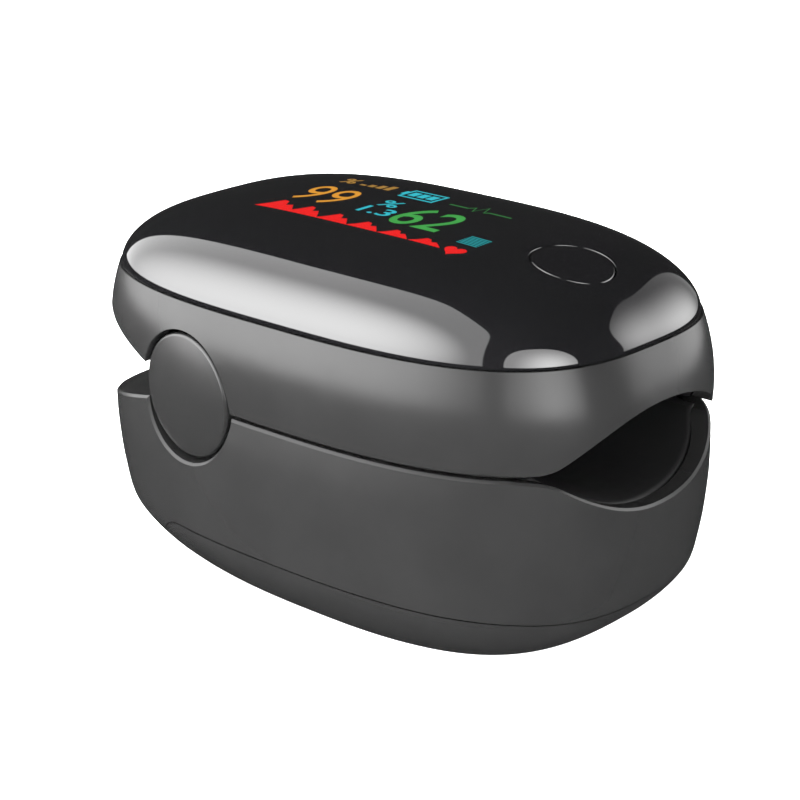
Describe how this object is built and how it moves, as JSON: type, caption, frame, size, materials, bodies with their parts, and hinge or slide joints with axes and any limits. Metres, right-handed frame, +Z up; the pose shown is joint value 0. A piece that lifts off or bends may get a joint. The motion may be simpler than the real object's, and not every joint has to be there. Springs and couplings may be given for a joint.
{
  "type": "fingertip pulse oximeter",
  "caption": "Fingertip pulse oximeter: two spring-loaded oval jaws on a side hinge close on a finger, with a glossy display cover, a round power button and a sliding battery cover.",
  "frame": {"origin": "middle of the flat underneath, on the surface the device stands on", "axes": "+Z up; +Y along the finger from its opening to the hinge end; +X to the right seen from the finger opening, looking along +Y; the jaw hinge axis is along X"},
  "size_m": [0.038, 0.0602, 0.0375],
  "materials": {
    "shell_grey": "fine satin texture, dark gunmetal grey",
    "cover_black": "polished black, smoked window",
    "cap_grey": "satin dark grey",
    "button_black": "polished black",
    "inner_plastic": "moulded black",
    "pad_silicone": "soft matt silicone",
    "steel": "drawn wire and turned pin",
    "contact_metal": "nickel plated",
    "cell_sleeve": "printed sleeve over steel can",
    "board_green": "solder mask",
    "chip_black": "moulded epoxy",
    "part_white": "white moulded",
    "window_clear": "clear red tinted",
    "panel_glass": "display glass",
    "ribbon": "polyimide ribbon"
  },
  "bodies": {
    "lower_jaw": {"lower_shell": "shell_grey", "hinge_cap_left": "cap_grey", "hinge_cap_right": "cap_grey", "battery_tray": "inner_plastic", "lower_cradle": "inner_plastic", "lower_pad": "pad_silicone", "hinge_axle": "steel", "jaw_spring_left": "steel", "jaw_spring_right": "steel", "lower_screws": "steel", "contact_bridge": "contact_metal", "contact_plates": "contact_metal", "contact_springs": "contact_metal", "battery_left": "cell_sleeve", "battery_right": "cell_sleeve", "sensor_board": "board_green", "photodiode": "chip_black", "sensor_window": "window_clear", "flex_cable": "ribbon"},
    "upper_jaw": {"upper_shell": "shell_grey", "top_cover": "cover_black", "upper_cradle": "inner_plastic", "upper_pad": "pad_silicone", "upper_screws": "steel", "main_board": "board_green", "processor_chip": "chip_black", "memory_chip": "chip_black", "flex_connector": "part_white", "buzzer": "chip_black", "display_frame": "part_white", "display_panel": "panel_glass", "led_window": "window_clear", "led_emitter": "part_white", "switch_body": "contact_metal"},
    "button": {"power_button": "button_black", "switch_plunger": "part_white"},
    "battery_door": {"battery_cover": "shell_grey"}
  },
  "joints": [
    {"name": "jaw_hinge", "type": "hinge", "parent": "lower_jaw", "child": "upper_jaw", "pos_m": [0, 0.00995, 0.0223], "axis": [-1, 0, 0], "range_deg": [0, 25], "stiffness_Nm_per_rad": 0.1, "springref_deg": -34.38, "deforming": ["jaw_spring_left", "jaw_spring_right", "flex_cable"]},
    {"name": "button_press", "type": "slide", "parent": "upper_jaw", "child": "button", "axis": [0, 0.1942, -0.981], "range_m": [0, 0.00035], "stiffness_N_per_m": 1500, "springref_m": -0.0004},
    {"name": "battery_cover_slide", "type": "slide", "parent": "lower_jaw", "child": "battery_door", "axis": [0, -0.9994, -0.0349], "range_m": [0, 0.046]}
  ]
}
